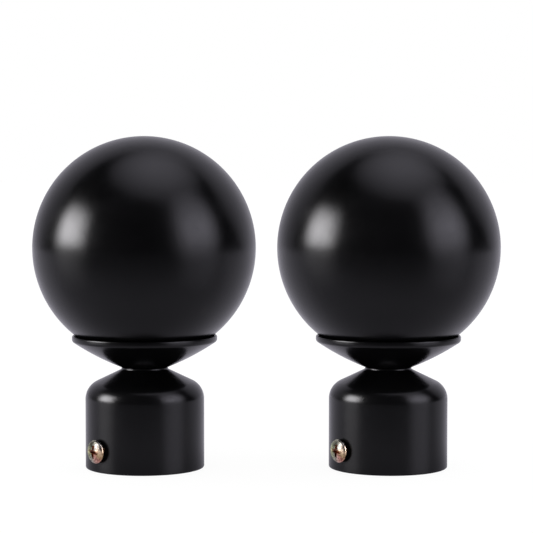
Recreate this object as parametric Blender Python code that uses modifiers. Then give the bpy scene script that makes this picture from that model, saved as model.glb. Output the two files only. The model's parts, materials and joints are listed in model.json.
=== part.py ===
"""A pair of ball finials for a 1 inch curtain rod, standing on their sockets' mouths.

Each finial is a deep-drawn socket that goes over the rod's end, a flared dish on top of it and a hollow
ball in the dish. One machine screw, driven from inside the socket, passes through the dish into a nut
welded inside the ball and clamps the three together. A pan-head set screw through the socket's wall grips
the rod. Metres, +Z up, with the origin on the standing surface midway between the two finials.
"""

import math

import bmesh
import bpy
from mathutils import Matrix

MM = 0.001

# Driving dimensions.
ROD_DIAMETER = 25.4 * MM
ROD_CLEARANCE = 0.3 * MM  # radial
SOCKET_WALL = 1.0 * MM
BALL_DIAMETER = 52.5 * MM
FINIAL_SPACING = 57.5 * MM  # between the two finials' axes
TOUCH_GAP = 0.2 * MM  # left between pieces that bear on each other

# Socket: straight wall, rounded shoulder, and a cone up to a flat neck with a short upright collar.
SOCKET_BORE_RADIUS = ROD_DIAMETER / 2 + ROD_CLEARANCE
SOCKET_RADIUS = SOCKET_BORE_RADIUS + SOCKET_WALL
NECK_RADIUS = 5.45 * MM
NECK_EDGE = 0.1 * MM
NECK_COLLAR = 0.3 * MM
NECK_HEIGHT = 23.75 * MM
SOCKET_CONE_ANGLE = math.radians(25.7)  # below horizontal
SHOULDER_RADIUS = 4.6 * MM
MOUTH_EDGE_RADIUS = 0.4 * MM

# Dish: a slightly bulging cone of sheet, bent up at the rim into a short lip on which the ball rests.
DISH_SHEET = 0.8 * MM
DISH_BULGE = 0.36 * MM  # how far the wall stands out from a straight cone, at its middle
RIM_RADIUS = 17.1 * MM
RIM_FOOT_HEIGHT = 30.0 * MM  # where the wall would reach the rim's cylinder with no bend
RIM_TOP_HEIGHT = 31.3 * MM
LIP_EDGE_RADIUS = DISH_SHEET / 2

# Ball: a hollow steel sphere with a small flat round the screw hole at its foot.
BALL_RADIUS = BALL_DIAMETER / 2
BALL_SHEET = 0.8 * MM
BALL_FLAT_RADIUS = 4.5 * MM

# Centre fastening: an M4 x 12 pan-head screw with a spring washer, a flat washer and a weld nut.
M4_HOLE_RADIUS = 2.25 * MM
M4_SHANK_RADIUS = 1.9 * MM
M4_HEAD_RADIUS = 4.0 * MM
M4_HEAD_HEIGHT = 2.6 * MM
M4_LENGTH = 12.0 * MM
FLAT_WASHER_RADIUS = 4.5 * MM
FLAT_WASHER_THICKNESS = 0.8 * MM
SPRING_WASHER_RADIUS = 3.8 * MM
SPRING_WASHER_THICKNESS = 1.0 * MM
SPRING_WASHER_SPLIT = 0.5 * MM
SPRING_WASHER_SLANT = math.radians(30)  # of the split, from upright
WASHER_HOLE_RADIUS = 2.15 * MM
NUT_ACROSS_FLATS = 7.0 * MM
NUT_HEIGHT = 3.2 * MM
NUT_HOLE_RADIUS = 2.1 * MM
NUT_EDGE = 0.25 * MM

# Set screw: an M3 x 5 pan-head screw, run in until its head is under a millimetre from the socket's wall.
M3_HOLE_RADIUS = 1.6 * MM
M3_SHANK_RADIUS = 1.45 * MM
M3_HEAD_RADIUS = 2.75 * MM
M3_HEAD_HEIGHT = 1.25 * MM
M3_LENGTH = 5.0 * MM
SET_SCREW_HEIGHT = 5.1 * MM
SET_SCREW_HEAD_GAP = 0.6 * MM  # between the head and the wall
SET_SCREW_AZIMUTH = {"left": 46.5, "right": 53.5}  # degrees from -Y towards -X

# Pan heads and points: the head's outline as shares of its radius and height, and the point's chamfer as a
# share of the shank's radius.
PAN_HEAD = ((0, 1), (0.62, 0.92), (0.88, 0.7), (1, 0.35), (1, 0))
POINT_CHAMFER = 0.3

# Cross recesses: the length and width of each bar of the cross, and how far it sinks into the crown.
M4_RECESS = (4.4 * MM, 1.0 * MM, 1.6 * MM)
M3_RECESS = (3.4 * MM, 0.8 * MM, 0.9 * MM)
M4_RECESS_TURN = 0.0
M3_RECESS_TURN = math.radians(-6.0)

# Facets. The turned pieces have a corner on each of the row's four horizontal directions.
BODY_STEPS = 40
FASTENER_STEPS = 20


def arc(centre, radius, start, end, steps):
    """Points (r, z) on a circle, from one angle to another, in degrees from the +r direction."""
    angles = (math.radians(start + (end - start) * i / steps) for i in range(steps + 1))
    return [(centre[0] + radius * math.cos(a), centre[1] + radius * math.sin(a)) for a in angles]


def collection(name):
    made = bpy.data.collections.new(name)
    bpy.context.scene.collection.children.link(made)
    return made


def material(name, colour, roughness, metallic):
    made = bpy.data.materials.new(name)
    made.use_nodes = True
    shader = made.node_tree.nodes["Principled BSDF"]
    shader.inputs["Base Color"].default_value = (*colour, 1.0)
    shader.inputs["Roughness"].default_value = roughness
    shader.inputs["Metallic"].default_value = metallic
    made.diffuse_color = (*colour, 1.0)
    return made


def place(obj, group, parent, location=(0, 0, 0)):
    group.objects.link(obj)
    obj.parent = parent
    obj.location = location
    return obj


def empty(name, group, parent=None, location=(0, 0, 0)):
    return place(bpy.data.objects.new(name, None), group, parent, location)


def turned(name, profile, steps, closed=True):
    """A shape turned about its own Z axis. Its profile is closed, or starts and ends on the axis."""
    mesh = bpy.data.meshes.new(name)
    edges = [(i, i + 1) for i in range(len(profile) - 1)]
    if closed:
        edges.append((len(profile) - 1, 0))
    mesh.from_pydata([(r, 0, z) for r, z in profile], edges, [])
    obj = bpy.data.objects.new(name, mesh)
    screw = obj.modifiers.new("turn", "SCREW")
    screw.axis = "Z"
    screw.angle = math.tau
    screw.steps = screw.render_steps = steps
    screw.use_merge_vertices = True
    screw.merge_threshold = 1e-6
    screw.use_smooth_shade = True
    return obj


def solid(name, build):
    """A mesh object from a function that fills a bmesh."""
    shape = bmesh.new()
    build(shape)
    mesh = bpy.data.meshes.new(name)
    shape.to_mesh(mesh)
    shape.free()
    return bpy.data.objects.new(name, mesh)


def box(name, size):
    def build(shape):
        bmesh.ops.create_cube(shape, size=1.0, matrix=Matrix.Diagonal((*size, 1.0)))

    return solid(name, build)


def cylinder(name, radius, height, steps):
    def build(shape):
        bmesh.ops.create_cone(
            shape, cap_ends=True, segments=steps, radius1=radius, radius2=radius, depth=height
        )

    return solid(name, build)


def cut(obj, cutter):
    """The cutter becomes a helper, and obj loses the space that it takes."""
    cutter.hide_render = True
    cutter.display_type = "WIRE"
    modifier = obj.modifiers.new("cut_" + cutter.name, "BOOLEAN")
    modifier.operation = "DIFFERENCE"
    modifier.solver = "EXACT"
    modifier.object = cutter


def paint(obj, surface):
    """Gives a node its own material, named for the node."""
    own = surface.copy()
    own.name = obj.name
    obj.data.materials.append(own)


def socket_profile():
    """Outer side down from the neck to the mouth, then up the inside of the wall."""
    angle = SOCKET_CONE_ANGLE
    turn = math.pi / 2 - angle
    cone_drop = (SOCKET_RADIUS - NECK_RADIUS) * math.tan(angle)
    tangent = SHOULDER_RADIUS * math.tan(turn / 2)
    collar_foot = NECK_HEIGHT - NECK_COLLAR
    wall_top = collar_foot - cone_drop - tangent
    shoulder = (SOCKET_RADIUS - SHOULDER_RADIUS, wall_top)
    shoulder_end = 90 - math.degrees(angle)
    inner_drop = NECK_COLLAR + SOCKET_WALL / math.cos(angle) - SOCKET_WALL
    inner_neck = NECK_RADIUS - inner_drop / math.tan(angle)
    mouth = (SOCKET_RADIUS - MOUTH_EDGE_RADIUS, MOUTH_EDGE_RADIUS)
    return (
        [(M4_HOLE_RADIUS, NECK_HEIGHT), (NECK_RADIUS - NECK_EDGE, NECK_HEIGHT)]
        + [(NECK_RADIUS, NECK_HEIGHT - NECK_EDGE), (NECK_RADIUS, collar_foot)]
        + arc(shoulder, SHOULDER_RADIUS, shoulder_end, 0, 5)
        + arc(mouth, MOUTH_EDGE_RADIUS, 0, -90, 2)
        + [(SOCKET_BORE_RADIUS, 0)]
        + arc(shoulder, SHOULDER_RADIUS - SOCKET_WALL, 0, shoulder_end, 5)
        + [(inner_neck, NECK_HEIGHT - SOCKET_WALL), (M4_HOLE_RADIUS, NECK_HEIGHT - SOCKET_WALL)]
    )


def dish_profile():
    """Over the lip, down the outside of the wall to the foot and the hole, then up the inside."""
    foot = NECK_HEIGHT + TOUCH_GAP
    floor = foot + DISH_SHEET
    inside = RIM_RADIUS - DISH_SHEET

    # The wall is an arc of this centre and radius through the foot's edge and the rim's foot.
    across, up = RIM_RADIUS - NECK_RADIUS, RIM_FOOT_HEIGHT - foot
    chord = math.hypot(across, up)
    radius = (chord**2 / 4 + DISH_BULGE**2) / (2 * DISH_BULGE)
    reach = (radius - DISH_BULGE) / chord
    centre_r = NECK_RADIUS + across / 2 - reach * up
    centre_z = foot + up / 2 + reach * across
    centre = (centre_r, centre_z)
    inner_radius = radius - DISH_SHEET

    # The bend into the lip turns about the corner inside it.
    bend = (inside, centre_z - math.sqrt(inner_radius**2 - (inside - centre_r) ** 2))
    wall_top = math.degrees(math.atan2(bend[1] - centre_z, inside - centre_r))
    wall_foot = math.degrees(math.atan2(foot - centre_z, NECK_RADIUS - centre_r))
    wall_floor = -math.degrees(math.asin((centre_z - floor) / inner_radius))
    lip_edge = (RIM_RADIUS - LIP_EDGE_RADIUS, RIM_TOP_HEIGHT - LIP_EDGE_RADIUS)
    return (
        arc(lip_edge, LIP_EDGE_RADIUS, 180, 0, 4)
        + arc(bend, DISH_SHEET, 0, wall_top, 3)
        + arc(centre, radius, wall_top, wall_foot, 4)[1:]
        + [(M4_HOLE_RADIUS, foot), (M4_HOLE_RADIUS, floor)]
        + arc(centre, inner_radius, wall_floor, wall_top, 4)
    )


def ball_height():
    """Height of the ball's centre, with the ball resting on the edge of the dish's lip."""
    reach = BALL_RADIUS + LIP_EDGE_RADIUS + TOUCH_GAP
    rise = math.sqrt(reach**2 - (RIM_RADIUS - LIP_EDGE_RADIUS) ** 2)
    return RIM_TOP_HEIGHT - LIP_EDGE_RADIUS + rise


def ball_flat_height():
    """Height of the outer face of the flat at the ball's foot."""
    return ball_height() - math.sqrt(BALL_RADIUS**2 - BALL_FLAT_RADIUS**2)


def ball_profile():
    """Outer sphere from the top down to the flat and the hole, then the inner sphere back up."""
    centre = (0, ball_height())
    inner_radius = BALL_RADIUS - BALL_SHEET
    flat = ball_flat_height()
    inner_flat = flat + BALL_SHEET
    outer_end = -math.degrees(math.acos(BALL_FLAT_RADIUS / BALL_RADIUS))
    inner_end = -math.degrees(math.asin((centre[1] - inner_flat) / inner_radius))
    return (
        arc(centre, BALL_RADIUS, 90, 0, 9)
        + arc(centre, BALL_RADIUS, 0, outer_end, 8)[1:]
        + [(M4_HOLE_RADIUS, flat), (M4_HOLE_RADIUS, inner_flat)]
        + arc(centre, inner_radius, inner_end, 90, 8)
    )


def turned_screw(name, head_radius, head_height, shank_radius, length):
    """A pan-head screw: domed crown at the top, bearing face at z = 0, and a chamfered end."""
    chamfer = POINT_CHAMFER * shank_radius
    profile = [(head_radius * r, head_height * z) for r, z in PAN_HEAD]
    profile += [(shank_radius, 0), (shank_radius, chamfer - length)]
    profile += [(shank_radius - chamfer, -length), (0, -length)]
    return turned(name, profile, FASTENER_STEPS, closed=False)


def cut_recess(screw, sizes, crown, turn, group):
    """A cross recess in a screw's crown, with one cutter for each bar of the cross."""
    length, width, depth = sizes
    for index, bar_turn in enumerate((turn, turn + math.pi / 2)):
        bar = box(f"{screw.name}_recess_{index}", (length, width, 2 * depth))
        place(bar, group, screw, (0, 0, crown))
        bar.rotation_euler.z = bar_turn
        cut(screw, bar)


def build_socket(side, parts, cutters, axis, hole_axis, surface):
    obj = place(turned(f"{side}_socket", socket_profile(), BODY_STEPS), parts, axis)
    drill = cylinder(f"{side}_set_screw_hole", M3_HOLE_RADIUS, 4 * SOCKET_WALL, FASTENER_STEPS)
    place(drill, cutters, hole_axis)
    cut(obj, drill)
    paint(obj, surface)


def build_washers(side, parts, cutters, axis, surface):
    """The flat washer under the socket's roof and the split spring washer below it."""
    flat_top = NECK_HEIGHT - SOCKET_WALL - TOUCH_GAP
    flat_base = flat_top - FLAT_WASHER_THICKNESS
    spring_top = flat_base - TOUCH_GAP
    spring_base = spring_top - SPRING_WASHER_THICKNESS
    rings = (
        ("flat_washer", FLAT_WASHER_RADIUS, flat_top, flat_base),
        ("spring_washer", SPRING_WASHER_RADIUS, spring_top, spring_base),
    )
    for name, radius, top, base in rings:
        section = [
            (WASHER_HOLE_RADIUS, top),
            (radius, top),
            (radius, base),
            (WASHER_HOLE_RADIUS, base),
        ]
        ring = place(turned(f"{side}_{name}", section, FASTENER_STEPS), parts, axis)
        paint(ring, surface)
    split = box(f"{side}_washer_split", (SPRING_WASHER_RADIUS, SPRING_WASHER_SPLIT, 4 * MM))
    place(split, cutters, axis, (SPRING_WASHER_RADIUS, 0, (spring_top + spring_base) / 2))
    split.rotation_euler.x = SPRING_WASHER_SLANT
    cut(bpy.data.objects[f"{side}_spring_washer"], split)
    return spring_base


def build_centre_screw(side, parts, cutters, axis, bearing, surface):
    """Head down, inside the socket; its shank points up into the ball."""
    screw = turned_screw(f"{side}_centre_screw", M4_HEAD_RADIUS, M4_HEAD_HEIGHT, M4_SHANK_RADIUS, M4_LENGTH)
    place(screw, parts, axis, (0, 0, bearing))
    screw.rotation_euler.x = math.pi
    cut_recess(screw, M4_RECESS, M4_HEAD_HEIGHT, M4_RECESS_TURN, cutters)
    paint(screw, surface)


def build_nut(side, parts, cutters, axis, surface):
    """A hexagon weld nut on the flat inside the ball."""
    base = ball_flat_height() + BALL_SHEET + TOUCH_GAP
    corner_radius = NUT_ACROSS_FLATS / math.sqrt(3)
    nut = cylinder(f"{side}_weld_nut", corner_radius, NUT_HEIGHT, 6)
    place(nut, parts, axis, (0, 0, base + NUT_HEIGHT / 2))
    bevel = nut.modifiers.new("edges", "BEVEL")
    bevel.width = NUT_EDGE
    bevel.segments = 1
    thread = cylinder(f"{side}_nut_thread", NUT_HOLE_RADIUS, 2 * NUT_HEIGHT, FASTENER_STEPS)
    place(thread, cutters, axis, nut.location)
    cut(nut, thread)
    paint(nut, surface)


def build_set_screw(side, parts, cutters, screw_axis, surface):
    screw = turned_screw(f"{side}_set_screw", M3_HEAD_RADIUS, M3_HEAD_HEIGHT, M3_SHANK_RADIUS, M3_LENGTH)
    place(screw, parts, screw_axis)
    cut_recess(screw, M3_RECESS, M3_HEAD_HEIGHT, M3_RECESS_TURN, cutters)
    paint(screw, surface)


def outward_axis(name, azimuth, radius, parts, axis):
    """An empty at the set screw's height whose Z axis points out through the socket's wall."""
    point = (-math.sin(azimuth) * radius, -math.cos(azimuth) * radius, SET_SCREW_HEIGHT)
    made = empty(name, parts, axis, point)
    made.rotation_euler = (math.pi / 2, 0, -azimuth)
    return made


def build_finial(side, centre_x, parts, cutters, black_paint, yellow_zinc, bright_steel):
    axis = empty(f"{side}_finial_axis", parts, location=(centre_x, 0, 0))
    azimuth = math.radians(SET_SCREW_AZIMUTH[side])
    wall_middle = SOCKET_RADIUS - SOCKET_WALL / 2
    hole_axis = outward_axis(f"{side}_set_screw_hole_axis", azimuth, wall_middle, parts, axis)
    head_seat = SOCKET_RADIUS + SET_SCREW_HEAD_GAP
    screw_axis = outward_axis(f"{side}_set_screw_axis", azimuth, head_seat, parts, axis)

    build_socket(side, parts, cutters, axis, hole_axis, black_paint)
    paint(place(turned(f"{side}_dish", dish_profile(), BODY_STEPS), parts, axis), black_paint)
    ball = turned(f"{side}_ball", ball_profile(), BODY_STEPS, closed=False)
    paint(place(ball, parts, axis), black_paint)
    build_nut(side, parts, cutters, axis, bright_steel)
    spring_base = build_washers(side, parts, cutters, axis, bright_steel)
    build_centre_screw(side, parts, cutters, axis, spring_base - TOUCH_GAP, bright_steel)
    build_set_screw(side, parts, cutters, screw_axis, yellow_zinc)


def main():
    for old in list(bpy.data.objects):
        bpy.data.objects.remove(old)
    parts = collection("curtain_rod_finials")
    cutters = collection("cutters")
    black_paint = material("black_paint", (0.012, 0.012, 0.013), 0.32, 0.0)
    yellow_zinc = material("yellow_zinc", (0.62, 0.55, 0.38), 0.28, 1.0)
    bright_steel = material("bright_steel", (0.62, 0.62, 0.63), 0.35, 1.0)
    for side, direction in (("left", -1), ("right", 1)):
        centre_x = direction * FINIAL_SPACING / 2
        build_finial(side, centre_x, parts, cutters, black_paint, yellow_zinc, bright_steel)


main()
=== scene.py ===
"""Looks of a pair of black ball finials for a curtain rod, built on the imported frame.

Every CAD node is replaced by a finer piece: turned shells with rounded edges, pan-head screws with rolled
threads and cross recesses, a split spring washer, a flat washer and a chamfered weld nut. Each piece is made
about its own axis and then stood where its node is.
"""

import json
import math

import bmesh
import bpy
import numpy as np
from mathutils import Matrix, Vector

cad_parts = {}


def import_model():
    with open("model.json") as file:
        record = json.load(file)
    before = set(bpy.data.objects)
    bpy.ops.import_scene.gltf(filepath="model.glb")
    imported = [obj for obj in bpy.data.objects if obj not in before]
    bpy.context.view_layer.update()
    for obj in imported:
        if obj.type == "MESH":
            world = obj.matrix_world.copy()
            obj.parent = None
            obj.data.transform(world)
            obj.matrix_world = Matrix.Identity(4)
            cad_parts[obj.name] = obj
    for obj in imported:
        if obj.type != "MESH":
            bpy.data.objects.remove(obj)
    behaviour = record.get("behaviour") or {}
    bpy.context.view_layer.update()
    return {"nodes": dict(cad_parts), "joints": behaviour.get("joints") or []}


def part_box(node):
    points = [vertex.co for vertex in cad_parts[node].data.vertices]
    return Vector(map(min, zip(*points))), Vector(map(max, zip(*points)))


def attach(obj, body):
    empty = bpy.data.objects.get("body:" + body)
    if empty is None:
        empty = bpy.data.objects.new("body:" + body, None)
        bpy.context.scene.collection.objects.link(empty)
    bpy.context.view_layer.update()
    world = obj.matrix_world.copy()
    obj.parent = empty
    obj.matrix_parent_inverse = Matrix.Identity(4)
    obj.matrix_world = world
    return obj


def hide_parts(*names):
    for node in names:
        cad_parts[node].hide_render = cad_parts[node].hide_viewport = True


MM = 0.001
SIDES = ("left", "right")

# Sheet and edges. The frame gives the outsides; these are what it doesn't say.
SOCKET_WALL = 1.0 * MM
SOCKET_CONE_ANGLE = math.radians(25.7)  # below horizontal
SOCKET_SHOULDER_RADIUS = 4.6 * MM
SOCKET_MOUTH_RADIUS = 0.38 * MM
SOCKET_ROOF_RADIUS = 1.2 * MM  # inside, where the cone meets the flat under the neck
NECK_RADIUS = 5.45 * MM
NECK_COLLAR = 0.45 * MM  # the short upright part on top of the socket's cone
NECK_FOOT_RADIUS = 0.5 * MM  # where the collar runs out into the cone
NECK_EDGE_RADIUS = 0.08 * MM
NECK_HAIRLINE = 0.03 * MM  # between the socket's neck and the dish's foot
DISH_FOOT_RADIUS = 0.3 * MM
DISH_FLOOR_RADIUS = 0.6 * MM
DISH_SHEET = 0.8 * MM
DISH_BULGE = 0.36 * MM  # how far the wall stands out from a straight cone, at its middle
DISH_LIP = 1.3 * MM  # from where the wall would reach the rim up to the rim's top
BALL_SHEET = 0.8 * MM
BALL_FLAT_RADIUS = 4.5 * MM
BALL_FLAT_BLEND = 0.5 * MM  # width of the ring between the flat and the sphere
BALL_FLAT_EDGE_RADIUS = 1.0 * MM
SCREW_HOLE_RADIUS = 2.25 * MM
SCREW_HOLE_EDGE_RADIUS = 0.15 * MM
SET_SCREW_HOLE_RADIUS = 1.6 * MM
SET_SCREW_HOLE_FLARE = 0.22 * MM
WASHER_HOLE_RADIUS = 2.15 * MM

# Fineness of the shells' meshes.
SHELL_STEPS = 160  # round the axis
LONGEST_RUN = 1.2 * MM  # along straight walls
AXIS_TOLERANCE = 1e-7  # points nearer to the axis than this are on it

# Screws, in mm: radii and pitch of the thread, length under the head, and the head's radius, height, radius
# of its dome and radius of its shoulder.
M3 = {
    "major": 1.48,
    "minor": 1.2,
    "pitch": 0.5,
    "length": 5.0,
    "head": 2.75,
    "crown": 1.25,
    "dome": 6.5,
    "shoulder": 0.55,
}
M4 = {
    "major": 1.98,
    "minor": 1.62,
    "pitch": 0.7,
    "length": 12.0,
    "head": 4.0,
    "crown": 2.6,
    "dome": 6.5,
    "shoulder": 1.44,
}
NUT_THREAD = {"major": 2.1, "minor": 2.02, "pitch": 0.7}
SCREW_HEAD_EDGE = 0.12  # radius round the bearing face
SCREW_NECK = 0.12  # from the bearing face to the thread's start
SCREW_RUNOUT = 0.35  # from the thread's start to its full height
SCREW_TIP_INSET = 0.12  # how much thinner the tip is than the thread's root
SCREW_TIP_SLOPE = 1.1  # radius that the tip's chamfer gains along the axis
THREAD_ROWS = 10  # points along the axis for each turn
THREAD_FLANK = 2.6  # steepness of the flanks, before crests and roots are cut flat
THREAD_ROOT = 0.8  # how much of that lies below the roots

# Cross recesses, in mm and degrees: half the length and width of the cross, the webs in its inner corners,
# its depth, the depth of its point, and how far it is turned in the head.
M3_RECESS = {"reach": 1.7, "width": 0.4, "web": 0.15, "depth": 1.0, "point": 1.4, "turn": -6.0}
M4_RECESS = {"reach": 2.2, "width": 0.5, "web": 0.32, "depth": 1.6, "point": 2.05, "turn": 0.0}

# Where each finial's materials start in their patterns, so that no two finials share one.
PATTERN_OFFSETS = {"left": (0.0, 0.0, 0.0), "right": (0.31, 0.17, 0.23)}

# Camera: a long lens a little above the pair, looking slightly down. The lens and the sensor are in mm, and
# the rest is in metres.
CAMERA_DISTANCE = 0.470
CAMERA_HEIGHT = 0.075
CAMERA_AIM_HEIGHT = 0.0475
CAMERA_CLIP_START = 0.01
CAMERA_LENS = 135.0
CAMERA_SENSOR = 36.0

FLOOR_LEVEL = -0.02 * MM
FLOOR_REACH = 4.0
FLOOR_GLOW = 0.93

# Lamps as each finial sees them. Bearings are from the camera's side, positive to the right; a lamp reaches
# spread to each side of its bearing, and from its low to its high elevation, all in degrees. Fades are shares
# of the brightness along the lamp's width, its height and outwards from its middle (0 to 1 from side to side
# and from foot to top). Below the horizon the key and the fill go on as their own images in the table. A lamp
# lights the painted shells, the bright metal or all of a finial's pieces.
LAMP_DISTANCE = 1.5
SOFT_SIDES = [(0.0, 0.0), (0.17, 0.5), (0.34, 1.0), (0.66, 1.0), (0.83, 0.5), (1.0, 0.0)]
KEY_RISE = [
    (0.0, 0.0), (0.2, 0.015), (0.4, 0.045), (0.5, 0.06), (0.515, 0.45), (0.6, 0.95), (0.68, 1.0),
    (0.76, 0.95), (0.84, 0.7), (0.91, 0.35), (1.0, 0.05),
]
FILL_RISE = [
    (0.0, 0.02), (0.163, 0.08), (0.256, 0.12), (0.34, 0.2), (0.41, 0.45), (0.48, 0.8), (0.59, 1.0),
    (0.79, 0.5), (1.0, 0.0),
]
BACKDROP_SIDES = [
    (0.0, 0.0), (0.07, 0.3), (0.16, 0.62), (0.28, 0.92), (0.37, 1.0), (0.5, 0.9), (0.63, 0.85),
    (0.74, 0.62), (0.86, 0.4), (0.93, 0.2), (1.0, 0.0),
]
NEUTRAL = (1.0, 0.98, 1.01)
COOL = (0.985, 0.955, 1.09)
LAMPS = {
    "key": {
        "colour": NEUTRAL,
        "bearing": -78.5,
        "spread": 22.0,
        "low": -35.0,
        "high": 35.0,
        "radiance": 23.0,
        "fades": {"width": SOFT_SIDES, "height": KEY_RISE},
        "lights": "paint",
    },
    "glint": {
        "colour": NEUTRAL,
        "bearing": -78.5,
        "spread": 16.0,
        "low": -12.0,
        "high": 30.0,
        "radiance": 3.0,
        "fades": {"width": SOFT_SIDES, "height": SOFT_SIDES},
        "lights": "metal",
    },
    "fill": {
        "colour": COOL,
        "bearing": 61.0,
        "spread": 28.0,
        "low": -35.0,
        "high": 55.0,
        "radiance": 4.8,
        "fades": {"width": SOFT_SIDES, "height": FILL_RISE},
        "lights": "all",
    },
    "overhead": {
        "colour": COOL,
        "bearing": 67.0,
        "spread": 37.0,
        "low": 43.4,
        "high": 117.4,
        "radiance": 2.3,
        "fades": {"outwards": [(0.0, 1.0), (0.3, 0.85), (0.62, 0.5), (1.0, 0.0)]},
        "lights": "all",
    },
    "backdrop": {
        "colour": COOL,
        "bearing": 180.0,
        "spread": 69.0,
        "low": -3.0,
        "high": 64.0,
        "radiance": 0.7,
        "fades": {"width": BACKDROP_SIDES, "height": [(0.0, 1.0), (0.7, 1.0), (1.0, 0.6)]},
        "lights": "all",
    },
    "room": {
        "colour": COOL,
        "bearing": 0.0,
        "spread": 62.0,
        "low": 0.0,
        "high": 60.0,
        "radiance": 0.08,
        "fades": {"outwards": [(0.0, 0.8), (1.0, 1.0)]},
        "lights": "all",
    },
}
TABLE_REACH = 1.0  # half the width of the white table top, as light from below
TABLE_RADIANCE = 0.76
TABLE_FADES = {
    "height": [
        (0.0, 1.0), (0.49, 1.0), (0.505, 0.8), (0.525, 0.8), (0.543, 0.62), (0.555, 0.46),
        (0.5915, 0.29), (0.64, 0.22), (1.0, 0.17),
    ],
    "outwards": [(0.0, 0.7), (0.02, 0.75), (0.05, 1.0), (1.0, 1.0)],
}


# Profiles and meshes


def rounded(corners, segments=6, closed=True):
    """A profile of (r, z) points from corners (r, z) or, where they are rounded, (r, z, radius)."""
    points = []
    count = len(corners)
    for index, corner in enumerate(corners):
        here = Vector(corner[:2])
        radius = corner[2] if len(corner) > 2 else 0
        if not radius or (not closed and index in (0, count - 1)):
            points.append(tuple(here))
            continue
        before = (Vector(corners[index - 1][:2]) - here).normalized()
        after = (Vector(corners[(index + 1) % count][:2]) - here).normalized()
        half = before.angle(after) / 2
        setback = radius / math.tan(half)
        centre = here + (before + after).normalized() * radius / math.sin(half)
        start = here + before * setback - centre
        sweep = start.angle_signed(here + after * setback - centre)
        for step in range(segments + 1):
            turn = -sweep * step / segments
            spoke = Matrix.Rotation(turn, 2) @ start
            points.append(tuple(centre + spoke))
    return points


def arc(centre, radius, start, end, segments):
    """Points (r, z) round a circle between two angles in degrees."""
    turns = (math.radians(start + (end - start) * step / segments) for step in range(segments + 1))
    return [(centre[0] + radius * math.cos(t), centre[1] + radius * math.sin(t)) for t in turns]


def long_runs_split(profile, longest):
    """The closed profile, with points added along its long straight runs."""
    points = []
    for index, here in enumerate(profile):
        there = profile[(index + 1) % len(profile)]
        count = max(1, math.ceil(math.dist(here, there) / longest))
        for step in range(count):
            share = step / count
            points.append(tuple(a + (b - a) * share for a, b in zip(here, there)))
    return points


def new_object(name, data):
    """An object in the scene that shows a mesh, light or camera."""
    obj = bpy.data.objects.new(name, data)
    bpy.context.scene.collection.objects.link(obj)
    return obj


def shape_object(name, shape):
    """An object in the scene made from a bmesh, which is freed."""
    mesh = bpy.data.meshes.new(name)
    shape.to_mesh(mesh)
    shape.free()
    return new_object(name, mesh)


def turned(name, profile, steps, closed, warp=None, unit=1.0):
    """A mesh turned about Z from (r, z) points in units. warp(r, z, angle) may move each of its points."""
    shape = bmesh.new()
    rings = []
    for r, z in profile:
        if r < AXIS_TOLERANCE:
            rings.append([shape.verts.new((0, 0, z * unit))])
            continue
        ring = []
        for step in range(steps):
            angle = math.tau * step / steps
            radius, height = warp(r, z, angle) if warp else (r, z)
            corner = Vector((radius * math.cos(angle), radius * math.sin(angle), height))
            ring.append(shape.verts.new(corner * unit))
        rings.append(ring)
    pairs = list(zip(rings, rings[1:]))
    if closed:
        pairs.append((rings[-1], rings[0]))
    for lower, upper in pairs:
        for step in range(steps):
            following = (step + 1) % steps
            corners = [lower[step % len(lower)], lower[following % len(lower)]]
            corners += [upper[following % len(upper)], upper[step % len(upper)]]
            unique = list(dict.fromkeys(corners))
            if len(unique) > 2:
                shape.faces.new(unique)
    bmesh.ops.recalc_face_normals(shape, faces=shape.faces)
    obj = shape_object(name, shape)
    obj.data.shade_smooth()
    return obj


def bridge(shape, rings):
    """Adds the faces between each ring of points and the next."""
    for ring, following in zip(rings, rings[1:]):
        for index in range(len(ring)):
            onward = (index + 1) % len(ring)
            shape.faces.new([ring[index], ring[onward], following[onward], following[index]])


def carve(obj, cutter):
    """Takes the cutter's space out of obj, and deletes the cutter."""
    modifier = obj.modifiers.new("carve", "BOOLEAN")
    modifier.operation = "DIFFERENCE"
    modifier.solver = "EXACT"
    modifier.object = cutter
    graph = bpy.context.evaluated_depsgraph_get()
    mesh = bpy.data.meshes.new_from_object(obj.evaluated_get(graph))
    obj.modifiers.clear()
    obj.data = mesh
    bpy.data.objects.remove(cutter)


def smooth_by_angle(obj, degrees):
    """Shades obj smooth, apart from the edges that are sharper than an angle."""
    obj.data.shade_smooth()
    obj.data.set_sharp_from_angle(angle=math.radians(degrees))


def facing(outward):
    """The turn that points Z along a level direction, with X level."""
    up = Vector((0, 0, 1))
    return Matrix((up.cross(outward), up, outward)).transposed().to_4x4()


# Pieces


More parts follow.
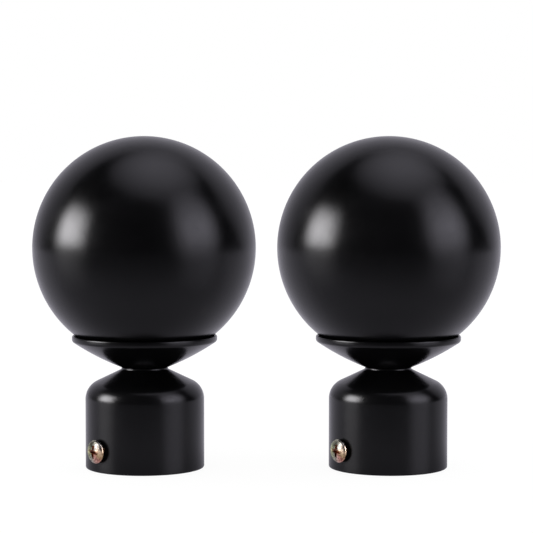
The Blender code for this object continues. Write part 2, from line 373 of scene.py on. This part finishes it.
def make_socket(name, radius, height, hole_height, outward):
    """The bell-shaped socket, with a flared hole for its set screw. Its mouth is at z = 0."""
    angle = SOCKET_CONE_ANGLE
    cone_foot = height - NECK_COLLAR - (radius - NECK_RADIUS) * math.tan(angle)
    inner = radius - SOCKET_WALL
    inner_shoulder = SOCKET_SHOULDER_RADIUS - SOCKET_WALL
    inner_foot = cone_foot - SOCKET_WALL / math.cos(angle) + SOCKET_WALL * math.tan(angle)
    inner_neck = inner - (height - SOCKET_WALL - inner_foot) / math.tan(angle)
    profile = rounded(
        [
            (SCREW_HOLE_RADIUS, height, SCREW_HOLE_EDGE_RADIUS),
            (NECK_RADIUS, height, NECK_EDGE_RADIUS),
            (NECK_RADIUS, height - NECK_COLLAR, NECK_FOOT_RADIUS),
            (radius, cone_foot, SOCKET_SHOULDER_RADIUS),
            (radius, 0, SOCKET_MOUTH_RADIUS),
            (inner, 0, SOCKET_MOUTH_RADIUS),
            (inner, inner_foot, inner_shoulder),
            (inner_neck, height - SOCKET_WALL, SOCKET_ROOF_RADIUS),
            (SCREW_HOLE_RADIUS, height - SOCKET_WALL, SCREW_HOLE_EDGE_RADIUS),
        ],
        segments=14,
    )
    obj = turned(name, long_runs_split(profile, LONGEST_RUN), SHELL_STEPS, closed=True)
    reach = 1.6 * MM  # of the drill beyond the middle of the wall
    hole = SET_SCREW_HOLE_RADIUS
    flare = hole + SET_SCREW_HOLE_FLARE
    wall = SOCKET_WALL / 2
    outer_half = [(0, reach), (flare + reach, reach), (flare, wall), (hole, wall - SET_SCREW_HOLE_FLARE)]
    inner_half = [(r, -z) for r, z in reversed(outer_half)]
    drill = turned(name + "_drill", outer_half + inner_half, 48, closed=False)
    middle = outward * (radius - wall) + Vector((0, 0, hole_height))
    drill.matrix_world = Matrix.Translation(middle) @ facing(outward)
    carve(obj, drill)
    smooth_by_angle(obj, 35)
    return obj


def make_dish(name, rim_radius, foot, top):
    """The flared dish: a flat foot, a gently bulging wall of sheet, and a short lip bent up at the rim."""
    floor = foot + DISH_SHEET
    inside = rim_radius - DISH_SHEET
    # The wall is an arc through the foot's edge and the rim, and its inside is another round the same centre.
    across, up = rim_radius - NECK_RADIUS, top - DISH_LIP - foot
    chord = math.hypot(across, up)
    radius = (chord**2 / 4 + DISH_BULGE**2) / (2 * DISH_BULGE)
    reach = (radius - DISH_BULGE) / chord
    centre = (NECK_RADIUS + across / 2 - reach * up, foot + up / 2 + reach * across)
    inner_radius = radius - DISH_SHEET
    bend = (inside, centre[1] - math.sqrt(inner_radius**2 - (inside - centre[0]) ** 2))
    wall_top = math.degrees(math.atan2(bend[1] - centre[1], inside - centre[0]))
    wall_foot = math.degrees(math.atan2(foot - centre[1], NECK_RADIUS - centre[0]))
    wall_floor = -math.degrees(math.asin((centre[1] - floor) / inner_radius))
    outer_wall = arc(centre, radius, wall_top, wall_foot, 14)
    inner_wall = arc(centre, inner_radius, wall_floor, wall_top, 14)
    floor_corners = [
        outer_wall[-2],
        (NECK_RADIUS, foot, DISH_FOOT_RADIUS),
        (SCREW_HOLE_RADIUS, foot, SCREW_HOLE_EDGE_RADIUS),
        (SCREW_HOLE_RADIUS, floor, SCREW_HOLE_EDGE_RADIUS),
        (*inner_wall[0], DISH_FLOOR_RADIUS),
        inner_wall[1],
    ]
    lip_edge = (rim_radius - DISH_SHEET / 2, top - DISH_SHEET / 2)
    profile = arc(lip_edge, DISH_SHEET / 2, 180, 0, 14) + arc(bend, DISH_SHEET, 0, wall_top, 10)
    profile += outer_wall[1:-2] + rounded(floor_corners, 6, closed=False) + inner_wall[2:]
    return turned(name, long_runs_split(profile, LONGEST_RUN), SHELL_STEPS, closed=True)


def make_ball(name, radius, height, flat):
    """The hollow ball about its own axis, with a small flat and a hole at its foot."""
    centre = (0, height)
    inner = radius - BALL_SHEET
    flat_end = BALL_FLAT_RADIUS + BALL_FLAT_BLEND
    outer_end = -math.degrees(math.acos(flat_end / radius))
    inner_end = -math.degrees(math.asin((height - flat - BALL_SHEET) / inner))
    hole = rounded(
        [
            (flat_end, height + radius * math.sin(math.radians(outer_end))),
            (BALL_FLAT_RADIUS, flat, BALL_FLAT_EDGE_RADIUS),
            (SCREW_HOLE_RADIUS, flat, SCREW_HOLE_EDGE_RADIUS),
            (SCREW_HOLE_RADIUS, flat + BALL_SHEET, SCREW_HOLE_EDGE_RADIUS),
            (inner * math.cos(math.radians(inner_end)), flat + BALL_SHEET),
        ],
        segments=5,
        closed=False,
    )
    profile = arc(centre, radius, 90, outer_end, 110) + hole[1:-1] + arc(centre, inner, inner_end, 90, 50)
    return turned(name, profile, SHELL_STEPS, closed=False)


def thread_radius(thread, z, angle):
    """Radius of a right-hand thread's surface, in mm, with flats on its crests and roots."""
    phase = (z / thread["pitch"] - angle / math.tau) % 1
    height = min(1, max(0, THREAD_FLANK * abs(phase - 0.5) * 2 - THREAD_ROOT))
    return thread["minor"] + (thread["major"] - thread["minor"]) * height


def make_screw(name, screw, recess):
    """A pan-head machine screw: bearing face at z = 0, crown up, rolled thread down to a chamfered end."""
    head, crown, dome, shoulder = (screw[key] for key in ("head", "crown", "dome", "shoulder"))
    length, major, minor = (screw[key] for key in ("length", "major", "minor"))
    shoulder_height = crown - dome + math.sqrt((dome - shoulder) ** 2 - (head - shoulder) ** 2)
    meet = math.degrees(math.atan2(shoulder_height - crown + dome, head - shoulder))
    bearing_face = [(head, shoulder_height), (head, 0, SCREW_HEAD_EDGE), (major, 0)]
    profile = arc((0, crown - dome), dome, 90, meet, 14)[:-1]
    profile += arc((head - shoulder, shoulder_height), shoulder, meet, 0, 10)
    profile += rounded(bearing_face, 4, closed=False)[1:]
    threaded = length - SCREW_NECK
    rows = math.ceil(threaded / screw["pitch"] * THREAD_ROWS)
    profile += [(major, -SCREW_NECK - threaded * row / rows) for row in range(rows + 1)]
    profile += [(0, -length)]

    def warp(r, z, angle):
        if z > -SCREW_NECK / 2:
            return r, z
        share = min(1, (-z - SCREW_NECK) / SCREW_RUNOUT)
        radius = minor + (thread_radius(screw, z, angle) - minor) * share
        chamfer = minor - SCREW_TIP_INSET + (length + z) * SCREW_TIP_SLOPE
        return min(radius, chamfer), z

    obj = turned(name, profile, 72, closed=False, warp=warp, unit=MM)
    carve(obj, make_recess_cutter(name + "_driver", recess, crown))
    smooth_by_angle(obj, 38)
    return obj


def make_recess_cutter(name, recess, crown):
    """A tapered cross with webbed inner corners and a pointed end, standing in a screw's crown."""
    above = 0.6  # how far it stands out of the crown
    taper = 0.42  # share of the reach lost from the crown to the bottom
    # Height, share of the reach and share of the width at each level, from the top down.
    levels = [
        (crown + above, 1 + taper * above / recess["depth"], 1.1),
        (crown, 1.0, 1.0),
        (crown - recess["depth"], 1 - taper, 0.82),
    ]
    shape = bmesh.new()
    rings = []
    for z, reach_share, width_share in levels:
        reach, width = recess["reach"] * reach_share, recess["width"] * width_share
        web = recess["web"] * width_share
        round_off = 0.3 * width
        quarter = [(reach, -width + round_off), (reach, width - round_off), (reach - round_off, width)]
        quarter += [(width + web, width), (width, width + web), (width, reach - round_off)]
        ring = []
        for side in range(4):
            turn = Matrix.Rotation(math.radians(recess["turn"]) + side * math.pi / 2, 2)
            for point in quarter:
                x, y = turn @ Vector(point)
                ring.append(shape.verts.new((x * MM, y * MM, z * MM)))
        rings.append(ring)
    bridge(shape, rings)
    shape.faces.new(rings[0])
    tip = shape.verts.new((0, 0, (crown - recess["point"]) * MM))
    lowest = rings[-1]
    for corner, following in zip(lowest, lowest[1:] + lowest[:1]):
        shape.faces.new([corner, following, tip])
    bmesh.ops.recalc_face_normals(shape, faces=shape.faces)
    return shape_object(name, shape)


def make_flat_washer(name, radius, thickness):
    """A punched washer: rolled over on its upper edge, crisp below. Its lower face is at z = 0."""
    corners = [
        (WASHER_HOLE_RADIUS, thickness, 0.06 * MM),
        (radius, thickness, 0.22 * MM),
        (radius, 0, 0.05 * MM),
        (WASHER_HOLE_RADIUS, 0, 0.1 * MM),
    ]
    return turned(name, long_runs_split(rounded(corners, 5), 0.8 * MM), 96, closed=True)


def make_spring_washer(name, radius, thickness):
    """A split lock washer pressed flat, its two ends cut on a slant. Its lower face is at z = 0."""
    corners = [
        (WASHER_HOLE_RADIUS, thickness, 0.08 * MM),
        (radius, thickness, 0.12 * MM),
        (radius, 0, 0.12 * MM),
        (WASHER_HOLE_RADIUS, 0, 0.08 * MM),
    ]
    section = rounded(corners, 4)
    split = 0.3 * MM / radius  # half of the cut's width, as an angle
    slant = math.tan(math.radians(30))
    steps = 120
    shape = bmesh.new()
    rings = []
    for step in range(steps + 1):
        ring = []
        for r, z in section:
            lean = slant * (z - thickness / 2) / radius
            angle = split + (math.tau - 2 * split) * step / steps - lean
            ring.append(shape.verts.new((r * math.cos(angle), r * math.sin(angle), z)))
        rings.append(ring)
    bridge(shape, rings)
    shape.faces.new(rings[0])
    shape.faces.new(rings[-1])
    bmesh.ops.recalc_face_normals(shape, faces=shape.faces)
    obj = shape_object(name, shape)
    smooth_by_angle(obj, 35)
    return obj


def make_nut(name, across_flats, height):
    """A hexagon nut with chamfered corners and a countersunk, threaded hole. Its lower face is at z = 0."""
    apothem = across_flats / 2
    face = 0.95 * apothem  # radius of the flat ring on each face
    countersink = 0.4 * MM
    rows = 36  # along the hole
    # The profile says what each point is on, and warp says where that is.
    on_face, on_outside, on_thread = 1, 2, 3
    profile = [(on_face, height), (on_outside, height), (on_outside, 0), (on_face, 0)]
    profile += [(on_thread, height * row / rows) for row in range(rows + 1)]

    def warp(kind, z, angle):
        if kind == on_face:
            return face, z
        if kind == on_thread:
            flare = max(0, countersink - min(z, height - z))
            return thread_radius(NUT_THREAD, z / MM, angle) * MM + flare, z
        corner = (angle + math.pi / 6) % (math.pi / 3) - math.pi / 6
        flat = apothem / math.cos(corner)
        drop = (flat - face) * math.tan(math.radians(30))
        return flat, (height - drop if z > height / 2 else drop)

    obj = turned(name, profile, 120, closed=True, warp=warp)
    smooth_by_angle(obj, 25)
    return obj


# Materials


class Nodes:
    """A small helper that adds nodes to the tree of a material, light or world, and joins them."""

    def __init__(self, owner, shader="Principled BSDF"):
        owner.use_nodes = True
        self.tree = owner.node_tree
        self.shader = self.tree.nodes[shader]

    def feed(self, socket, value):
        """Joins the socket to value, if that is a socket too, or gives it the value."""
        if isinstance(value, bpy.types.NodeSocket):
            self.tree.links.new(value, socket)
        else:
            socket.default_value = value

    def add(self, kind, inputs=None, **settings):
        node = self.tree.nodes.new(kind)
        for key, value in settings.items():
            setattr(node, key, value)
        for key, value in (inputs or {}).items():
            self.feed(node.inputs[key], value)
        return node

    def set(self, **inputs):
        """Feeds the shader's own sockets."""
        for key, value in inputs.items():
            self.feed(self.shader.inputs[key.replace("_", " ")], value)

    def number(self, operation, *values):
        return self.add("ShaderNodeMath", dict(enumerate(values)), operation=operation).outputs[0]

    def vector(self, operation, *values):
        node = self.add("ShaderNodeVectorMath", dict(enumerate(values)), operation=operation)
        return node.outputs["Value" if operation == "LENGTH" else "Vector"]

    def place(self, offset):
        """Object coordinates, moved so that no two finials share a pattern."""
        where = self.add("ShaderNodeTexCoord").outputs["Object"]
        return self.add("ShaderNodeMapping", {"Vector": where, "Location": offset}).outputs["Vector"]

    def noise(self, place, scale, detail=3.0, roughness=0.5, distortion=0.0):
        inputs = {"Vector": place, "Scale": scale, "Detail": detail}
        inputs |= {"Roughness": roughness, "Distortion": distortion}
        return self.add("ShaderNodeTexNoise", inputs).outputs["Fac"]

    def ramp(self, value, stops):
        """A colour for each value, from stops (position, (red, green, blue))."""
        node = self.add("ShaderNodeValToRGB", {"Fac": value})
        elements = node.color_ramp.elements
        while len(elements) < len(stops):
            elements.new(0.5)
        for element, (position, colour) in zip(elements, stops):
            element.position = position
            element.color = (*colour, 1.0)
        return node.outputs["Color"]

    def spread(self, value, low, high, source=(0.25, 0.75)):
        """Maps the source range to the range from low to high."""
        inputs = {"Value": value, "From Min": source[0], "From Max": source[1], "To Min": low, "To Max": high}
        return self.add("ShaderNodeMapRange", inputs).outputs["Result"]

    def bump(self, height, distance, normal=None):
        inputs = {"Height": height, "Distance": distance}
        if normal is not None:
            inputs["Normal"] = normal
        return self.add("ShaderNodeBump", inputs).outputs["Normal"]

    def blend(self, share, first, second, how="MIX"):
        """Mixes two colours. The numbers are the places of the node's colour sockets."""
        inputs = {0: share, 6: first, 7: second}
        return self.add("ShaderNodeMix", inputs, data_type="RGBA", blend_type=how).outputs[2]


def black_paint(name, offset):
    """Satin black baked paint: fine orange peel, slight tone drift, and edges where it is drawn thin."""
    material = bpy.data.materials.new(name)
    nodes = Nodes(material)
    place = nodes.place(offset)
    drift = nodes.noise(place, 90.0, detail=2.0)
    grain = nodes.noise(place, 9000.0, detail=2.0)
    tone = nodes.ramp(drift, [(0.3, (0.0005, 0.0005, 0.00055)), (0.7, (0.001, 0.001, 0.0011))])
    fleck = nodes.ramp(grain, [(0.62, (0, 0, 0)), (0.8, (1, 1, 1))])
    speckled = nodes.blend(fleck, tone, (0.006, 0.006, 0.0063, 1.0))
    edges = nodes.add("ShaderNodeNewGeometry").outputs["Pointiness"]
    thin = nodes.spread(edges, 0.0, 0.35, source=(0.53, 0.62))
    nodes.set(Base_Color=nodes.blend(thin, speckled, (0.012, 0.0115, 0.011, 1.0)))
    smear = nodes.noise(place, 260.0, detail=4.0, roughness=0.6)
    nodes.set(Roughness=nodes.spread(smear, 0.19, 0.25))
    peel = nodes.noise(place, 650.0, detail=1.5)
    soft = nodes.bump(peel, 0.006 * MM)
    nodes.set(Normal=nodes.bump(grain, 0.0006 * MM, normal=soft))
    nodes.set(IOR=1.31)
    return material


def yellow_zinc(name, offset):
    """Bright zinc under a yellow chromate film. Its hue drifts round the head; the recess has painted shade.
    """
    material = bpy.data.materials.new(name)
    nodes = Nodes(material)
    own = nodes.add("ShaderNodeTexCoord").outputs["Object"]
    place = nodes.place(offset)

    # The film's hue goes round the head, pushed about by noise.
    wander = 1.6 * MM
    smudge_inputs = {"Vector": place, "Scale": 650.0, "Detail": 3.0}
    smudge = nodes.add("ShaderNodeTexNoise", smudge_inputs).outputs["Color"]
    pushed = nodes.vector("MULTIPLY_ADD", smudge, (wander, wander, 0), own)
    back = (-wander / 2, -wander / 2, 0)
    centred = nodes.add("ShaderNodeMapping", {"Vector": pushed, "Location": back}).outputs["Vector"]
    wheel = nodes.add("ShaderNodeTexGradient", {"Vector": centred}, gradient_type="RADIAL").outputs["Fac"]
    hues = [
        (0.00, (0.80, 0.78, 0.40)),
        (0.09, (0.42, 0.47, 0.24)),
        (0.18, (0.62, 0.62, 0.50)),
        (0.28, (0.95, 0.62, 0.50)),
        (0.37, (0.84, 0.40, 0.31)),
        (0.44, (0.66, 0.46, 0.24)),
        (0.52, (0.95, 0.72, 0.48)),
        (0.64, (0.66, 0.66, 0.60)),
        (0.78, (0.60, 0.60, 0.44)),
        (0.90, (0.38, 0.43, 0.24)),
        (1.00, (0.80, 0.78, 0.40)),
    ]
    film = nodes.ramp(wheel, hues)
    fine = nodes.ramp(nodes.noise(place, 1900.0, detail=3.0), [(0.38, (0.30, 0.25, 0.22)), (0.54, (1, 1, 1))])
    worn = nodes.blend(0.85, film, fine, how="MULTIPLY")

    # Painted shade in the recess, by how far a point is below the dome, in the head and within the recess.
    flat = nodes.vector("MULTIPLY", own, (1, 1, 0))
    spoke = nodes.vector("LENGTH", flat)
    square = nodes.number("MULTIPLY", spoke, spoke)
    height = nodes.add("ShaderNodeSeparateXYZ", {"Vector": own}).outputs["Z"]
    fall = 1 / (2 * M3["dome"] * MM)
    sunk = nodes.number("MULTIPLY_ADD", square, fall, height)
    crown = M3["crown"] * MM
    depth = nodes.spread(sunk, 1.0, 0.0, source=(crown - 0.3 * MM, crown - 0.04 * MM))
    reach = M3_RECESS["reach"] * MM
    within = nodes.spread(spoke, 1.0, 0.0, source=(reach, reach + 0.1 * MM))
    in_head = nodes.spread(height, 0.0, 1.0, source=(-0.1 * MM, 0.1 * MM))
    painted_recess_shade = nodes.number("MULTIPLY", nodes.number("MULTIPLY", depth, within), in_head)
    # The painted shade's colour: a dark reddish brown that the recess is darkened to, in place of its shade.
    recess_shade_colour = nodes.ramp(smudge, [(0.4, (0.20, 0.085, 0.07)), (0.55, (0.50, 0.22, 0.11))])
    nodes.set(Base_Color=nodes.blend(painted_recess_shade, worn, recess_shade_colour), Metallic=1.0)
    nodes.set(Roughness=nodes.spread(nodes.noise(place, 1500.0, detail=4.0), 0.16, 0.30))
    dents = nodes.noise(place, 1300.0, detail=3.0)
    nodes.set(Normal=nodes.bump(dents, 0.05 * MM))
    return material


def bright_zinc(name, offset):
    """Clear zinc plate: cool grey with a faint blue and straw drift and fine rolled texture."""
    material = bpy.data.materials.new(name)
    nodes = Nodes(material)
    place = nodes.place(offset)
    film = nodes.noise(place, 340.0, detail=3.0, distortion=0.6)
    hues = [(0.35, (0.50, 0.52, 0.56)), (0.5, (0.62, 0.63, 0.64)), (0.65, (0.64, 0.62, 0.56))]
    nodes.set(Base_Color=nodes.ramp(film, hues), Metallic=1.0)
    nodes.set(Roughness=nodes.spread(nodes.noise(place, 1800.0, detail=4.0), 0.24, 0.42))
    nodes.set(Normal=nodes.bump(nodes.noise(place, 2400.0, detail=3.0), 0.01 * MM))
    return material


# The finials


def along(node, direction):
    """The lowest and highest place of a CAD node's points along a direction."""
    points = np.array([vertex.co for vertex in node.data.vertices]) @ np.array(direction)
    return points.min(), points.max()


def build_finial(side, frame):
    """One finial's pieces, each standing in for its CAD node. Returns the ball's centre and the pieces."""
    offset = PATTERN_OFFSETS[side]
    paint = black_paint(f"black_paint_{side}", offset)
    yellow = yellow_zinc(f"yellow_zinc_{side}", offset)
    bright = bright_zinc(f"bright_zinc_{side}", offset)
    body = f"{side}_finial"
    low, high = {}, {}
    for part in ("ball", "dish", "socket", "centre_screw", "spring_washer", "flat_washer", "weld_nut"):
        low[part], high[part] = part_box(f"{side}_{part}")
    axis = Vector(((low["socket"].x + high["socket"].x) / 2, 0, 0))
    travel = next(j for j in frame["joints"] if j["child"] == f"{side}_set_screw")
    outward = Vector(travel["axis"])
    screw_node = frame["nodes"][f"{side}_set_screw"]
    tip, _ = along(screw_node, outward)
    bottom, top = along(screw_node, (0, 0, 1))
    screw_height = (bottom + top) / 2

    pieces = []

    def keep(obj, part, material, place, rider=body):
        obj.matrix_world = place
        obj.data.materials.clear()
        obj.data.materials.append(material)
        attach(obj, rider)
        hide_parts(f"{side}_{part}")
        pieces.append(obj)

    stand = Matrix.Translation(axis)
    radius = high["socket"].x - axis.x
    socket = make_socket(f"{side}_socket_shell", radius, high["socket"].z, screw_height, outward)
    keep(socket, "socket", paint, stand)
    foot = high["socket"].z + NECK_HAIRLINE
    dish = make_dish(f"{side}_dish_shell", high["dish"].x - axis.x, foot, high["dish"].z)
    keep(dish, "dish", paint, stand)
    ball_radius = high["ball"].x - axis.x
    centre = high["ball"].z - ball_radius
    ball = make_ball(f"{side}_ball_shell", ball_radius, centre, low["ball"].z)
    keep(ball, "ball", paint, stand)

    screw = make_screw(f"{side}_centre_bolt", M4, M4_RECESS)
    bearing = Vector((0, 0, low["centre_screw"].z + M4["crown"] * MM))
    upside_down = Matrix.Translation(axis + bearing) @ Matrix.Rotation(math.pi, 4, "X")
    keep(screw, "centre_screw", bright, upside_down)
    for part, make in (("flat_washer", make_flat_washer), ("spring_washer", make_spring_washer)):
        size = high[part] - low[part]
        washer = make(f"{side}_{part}_ring", size.y / 2, size.z)
        keep(washer, part, bright, Matrix.Translation(axis + Vector((0, 0, low[part].z))))
    nut_size = high["weld_nut"] - low["weld_nut"]
    nut = make_nut(f"{side}_hexagon_nut", nut_size.x, nut_size.z)
    keep(nut, "weld_nut", bright, Matrix.Translation(axis + Vector((0, 0, low["weld_nut"].z))))

    set_screw = make_screw(f"{side}_grub_screw", M3, M3_RECESS)
    seat = tip + M3["length"] * MM - axis.dot(outward)
    place = Matrix.Translation(axis + outward * seat + Vector((0, 0, screw_height))) @ facing(outward)
    keep(set_screw, "set_screw", yellow, place, rider=f"{side}_set_screw")
    for shell in (socket, dish, ball):
        shell.visible_glossy = False
    return axis + Vector((0, 0, centre)), pieces


def group_pieces(side, pieces):
    """A finial's pieces in collections for its lamps: all of them, the painted ones and the metal ones."""
    groups = {}
    for name in ("all", "paint", "metal"):
        groups[name] = bpy.data.collections.new(f"{side}_{name}_pieces")
        bpy.context.scene.collection.children.link(groups[name])
    for piece in pieces:
        painted = piece.data.materials[0].name.startswith("black_paint")
        groups["all"].objects.link(piece)
        groups["paint" if painted else "metal"].objects.link(piece)
    return groups


# Stage


def add_camera():
    camera = new_object("camera", bpy.data.cameras.new("camera"))
    camera.data.lens = CAMERA_LENS
    camera.data.sensor_width = CAMERA_SENSOR
    camera.data.clip_start = CAMERA_CLIP_START
    camera.location = (0, -CAMERA_DISTANCE, CAMERA_HEIGHT)
    aim = Vector((0, 0, CAMERA_AIM_HEIGHT)) - camera.location
    camera.rotation_euler = aim.to_track_quat("-Z", "Y").to_euler()
    bpy.context.scene.camera = camera


def add_lamp(name, place, size, radiance, colour, fades, lit, blockers):
    """A softbox that fades away as its fades say.

    It lights only the collection lit, and only the collection blockers shades it.
    """
    light = bpy.data.lights.new(name, "AREA")
    light.shape = "RECTANGLE"
    light.size, light.size_y = size
    light.energy = radiance * math.pi * light.size * light.size_y
    light.color = colour
    nodes = Nodes(light, "Emission")
    surface = nodes.add("ShaderNodeNewGeometry").outputs["Parametric"]
    split = nodes.add("ShaderNodeSeparateXYZ", {"Vector": surface})
    from_middle = nodes.vector("MULTIPLY_ADD", surface, (2, 2, 0), (-1, -1, 0))
    places = {"width": split.outputs["X"], "height": split.outputs["Y"]}
    places["outwards"] = nodes.vector("LENGTH", from_middle)
    strength = 1.0
    for direction, stops in fades.items():
        greys = [(position, (level, level, level)) for position, level in stops]
        strength = nodes.number("MULTIPLY", strength, nodes.ramp(places[direction], greys))
    nodes.set(Strength=strength)
    lamp = new_object(name, light)
    lamp.matrix_world = place
    lamp.visible_camera = False
    lamp.light_linking.receiver_collection = lit
    lamp.light_linking.blocker_collection = blockers


def add_lights(side, centre, groups):
    """The studio's lamps and the table's glow, for one finial.

    The finials are lit as if each stood alone on the table, so that neither shows in the other. The bright
    plated metal has a weaker key than the black paint, as if it were flagged.
    """
    for name, lamp in LAMPS.items():
        middle = math.radians((lamp["low"] + lamp["high"]) / 2)
        half_height = math.radians((lamp["high"] - lamp["low"]) / 2)
        width = 2 * LAMP_DISTANCE * math.tan(math.radians(lamp["spread"]))
        height = 2 * LAMP_DISTANCE * math.tan(half_height)
        bearing = math.radians(lamp["bearing"])
        level = math.cos(middle)
        direction = Vector((math.sin(bearing) * level, -math.cos(bearing) * level, math.sin(middle)))
        turn = direction.to_track_quat("Z", "Y").to_matrix().to_4x4()
        place = Matrix.Translation(centre + direction * LAMP_DISTANCE) @ turn
        look = (lamp["radiance"], lamp["colour"], lamp["fades"])
        add_lamp(f"{side}_{name}_light", place, (width, height), *look, groups[lamp["lights"]], groups["all"])
    facing_up = Matrix.Translation((centre.x, centre.y, 2 * FLOOR_LEVEL)) @ Matrix.Rotation(math.pi, 4, "X")
    size = (2 * TABLE_REACH, 2 * TABLE_REACH)
    look = (TABLE_RADIANCE, COOL, TABLE_FADES)
    add_lamp(f"{side}_table_light", facing_up, size, *look, groups["all"], groups["all"])


def add_world():
    """White all round. The gloss doesn't see it: there the room is black between the lamps."""
    world = bpy.data.worlds.new("studio")
    bpy.context.scene.world = world
    nodes = Nodes(world, "Background")
    gloss = nodes.add("ShaderNodeLightPath").outputs["Is Glossy Ray"]
    nodes.set(Color=(1, 1, 1, 1), Strength=nodes.number("SUBTRACT", 1.0, gloss))


def add_floor():
    """A plain white table, nearly all its own glow, so that the finials leave only a faint shade on it."""
    shape = bmesh.new()
    bmesh.ops.create_grid(shape, x_segments=1, y_segments=1, size=FLOOR_REACH)
    floor = shape_object("floor", shape)
    floor.location.z = FLOOR_LEVEL
    floor.visible_glossy = False
    floor.visible_shadow = False
    material = bpy.data.materials.new("white_table")
    nodes = Nodes(material)
    nodes.set(Base_Color=(0.1, 0.1, 0.1, 1), Roughness=0.9, Specular_IOR_Level=0.0)
    nodes.set(Emission_Color=(1, 1, 1, 1), Emission_Strength=FLOOR_GLOW)
    floor.data.materials.append(material)


def main():
    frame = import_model()
    add_camera()
    bpy.context.scene.view_settings.view_transform = "Standard"
    add_world()
    add_floor()
    for side in SIDES:
        centre, pieces = build_finial(side, frame)
        add_lights(side, centre, group_pieces(side, pieces))


main()
